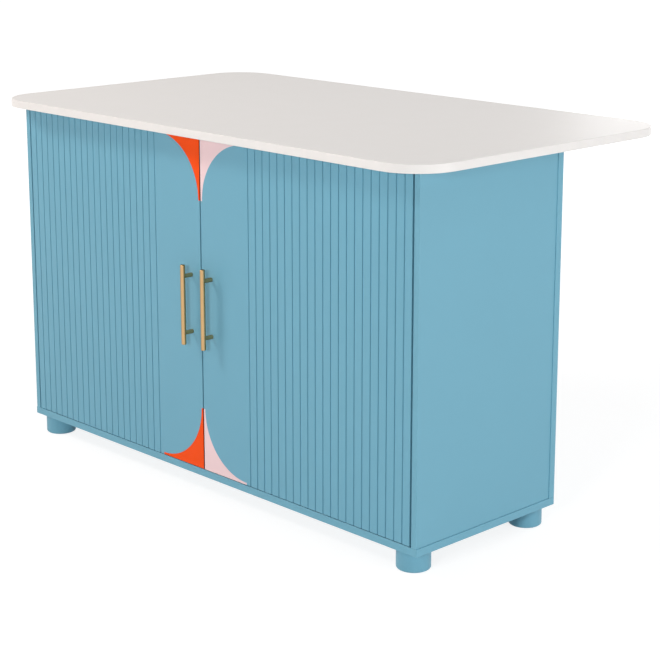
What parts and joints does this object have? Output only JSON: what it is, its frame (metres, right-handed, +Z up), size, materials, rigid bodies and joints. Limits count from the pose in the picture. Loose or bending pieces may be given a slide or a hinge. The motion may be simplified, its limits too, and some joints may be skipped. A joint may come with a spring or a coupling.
{
  "type": "kitchen island unit",
  "caption": "Freestanding kitchen island cabinet with ribbed double doors, bar handles, round feet and a long overhanging worktop with rounded corners.",
  "frame": {"origin": "on the floor under the middle of the worktop", "axes": "+X along the worktop to the right seen from the doors, -Y out of the doors, +Z up"},
  "size_m": [1.52, 0.86, 0.914],
  "materials": {
    "carcass_paint": "satin",
    "inner_board": "satin",
    "door_paint": "satin",
    "foot_paint": "satin",
    "orange_inlay": "satin",
    "pink_inlay": "satin",
    "worktop_lacquer": "satin",
    "handle_brass": "satin",
    "hinge_steel": "polished",
    "screw_steel": "satin",
    "cam_zinc": "matte",
    "dowel_beech": "matte",
    "buffer_rubber": "matte"
  },
  "bodies": {
    "carcass": {"base_plate": "carcass_paint", "side_panel_left": "carcass_paint", "side_panel_right": "carcass_paint", "back_panel": "carcass_paint", "centre_partition": "inner_board", "top_rail_front": "inner_board", "top_rail_rear": "inner_board", "shelf_left": "inner_board", "shelf_right": "inner_board", "foot_front_left": "foot_paint", "foot_rear_left": "foot_paint", "foot_front_right": "foot_paint", "foot_rear_right": "foot_paint", "hinge_arms_left": "hinge_steel", "hinge_plates_left": "hinge_steel", "hinge_plate_screws_left": "screw_steel", "hinge_arm_screws_left": "screw_steel", "shelf_pins_left": "screw_steel", "hinge_arms_right": "hinge_steel", "hinge_plates_right": "hinge_steel", "hinge_plate_screws_right": "screw_steel", "hinge_arm_screws_right": "screw_steel", "shelf_pins_right": "screw_steel", "worktop": "worktop_lacquer", "foot_bolts": "screw_steel", "foot_nuts": "screw_steel", "base_screws": "screw_steel", "worktop_screws": "screw_steel", "partition_screws": "screw_steel", "cam_bolts": "screw_steel", "cam_locks": "cam_zinc", "dowels": "dowel_beech", "door_buffers": "buffer_rubber"},
    "door_left": {"door_left": "door_paint", "inlay_left_lower": "orange_inlay", "inlay_left_upper": "orange_inlay", "handle_bar_left": "handle_brass", "handle_posts_left": "handle_brass", "handle_screws_left": "screw_steel", "hinge_cups_left": "hinge_steel", "hinge_pins_left": "hinge_steel", "hinge_cup_screws_left": "screw_steel"},
    "door_right": {"door_right": "door_paint", "inlay_right_lower": "pink_inlay", "inlay_right_upper": "pink_inlay", "handle_bar_right": "handle_brass", "handle_posts_right": "handle_brass", "handle_screws_right": "screw_steel", "hinge_cups_right": "hinge_steel", "hinge_pins_right": "hinge_steel", "hinge_cup_screws_right": "screw_steel"}
  },
  "joints": [
    {"name": "door_left_hinge", "type": "hinge", "parent": "carcass", "child": "door_left", "pos_m": [-0.6675, -0.3605, 0.478], "axis": [0, 0, -1], "range_deg": [0, 95]},
    {"name": "door_right_hinge", "type": "hinge", "parent": "carcass", "child": "door_right", "pos_m": [0.6675, -0.3605, 0.478], "axis": [0, 0, 1], "range_deg": [0, 95]}
  ]
}
